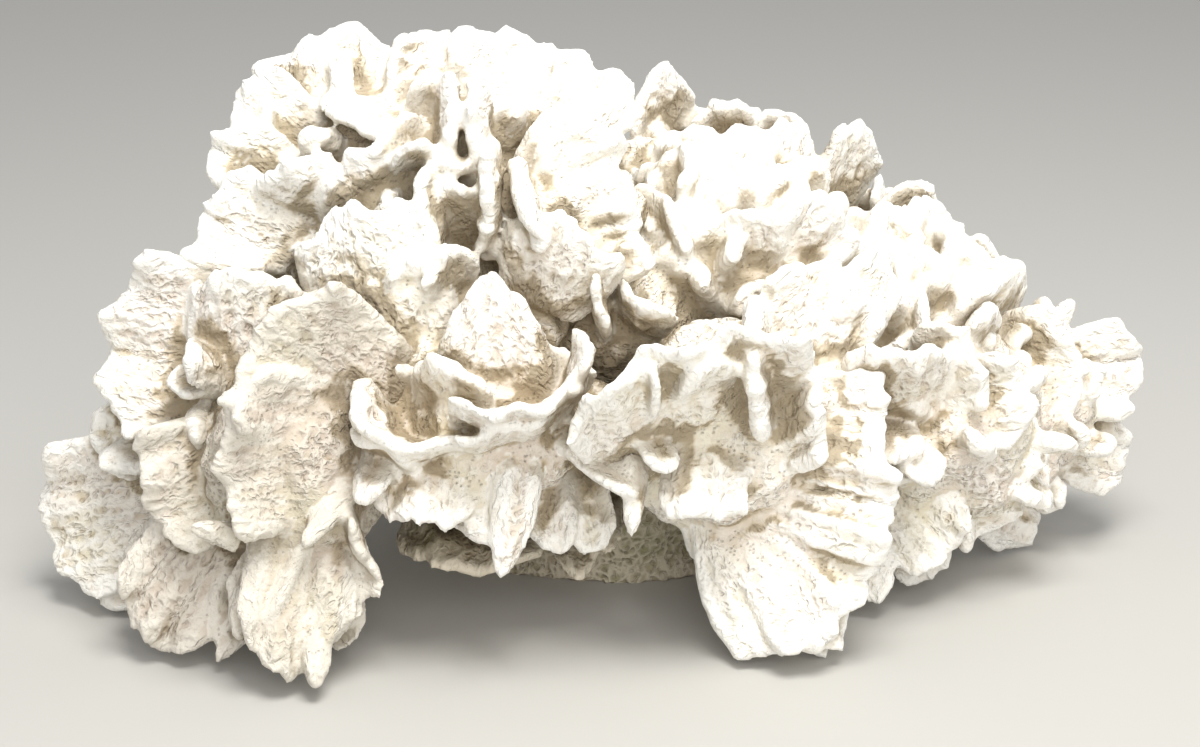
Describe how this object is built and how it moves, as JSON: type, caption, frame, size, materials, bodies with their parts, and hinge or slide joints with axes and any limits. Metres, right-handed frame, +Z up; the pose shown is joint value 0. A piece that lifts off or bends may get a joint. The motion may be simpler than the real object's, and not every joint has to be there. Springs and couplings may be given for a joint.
{
  "type": "foliose stony coral colony",
  "caption": "Bleached, leafy stony coral colony with ruffled plates and fans on a broken-off trunk, resting on its flat cut as a display piece.",
  "frame": {"origin": "middle of the flat cut under the trunk", "axes": "+X to the colony's right wing along its length, +Y to its back, +Z up"},
  "size_m": [0.4646, 0.2946, 0.2319],
  "materials": {
    "bleached_skeleton": "rough",
    "shaded_skeleton": "rough",
    "worm_lime": "matte"
  },
  "bodies": {
    "root": {"trunk": "shaded_skeleton", "left_crown": "bleached_skeleton", "front_cone": "bleached_skeleton", "left_curtain": "bleached_skeleton", "middle_folds": "bleached_skeleton", "left_wing": "bleached_skeleton", "right_ridge": "bleached_skeleton", "right_wing": "bleached_skeleton", "back_left": "bleached_skeleton", "back_right": "bleached_skeleton", "worm_tube": "worm_lime"}
  },
  "joints": []
}
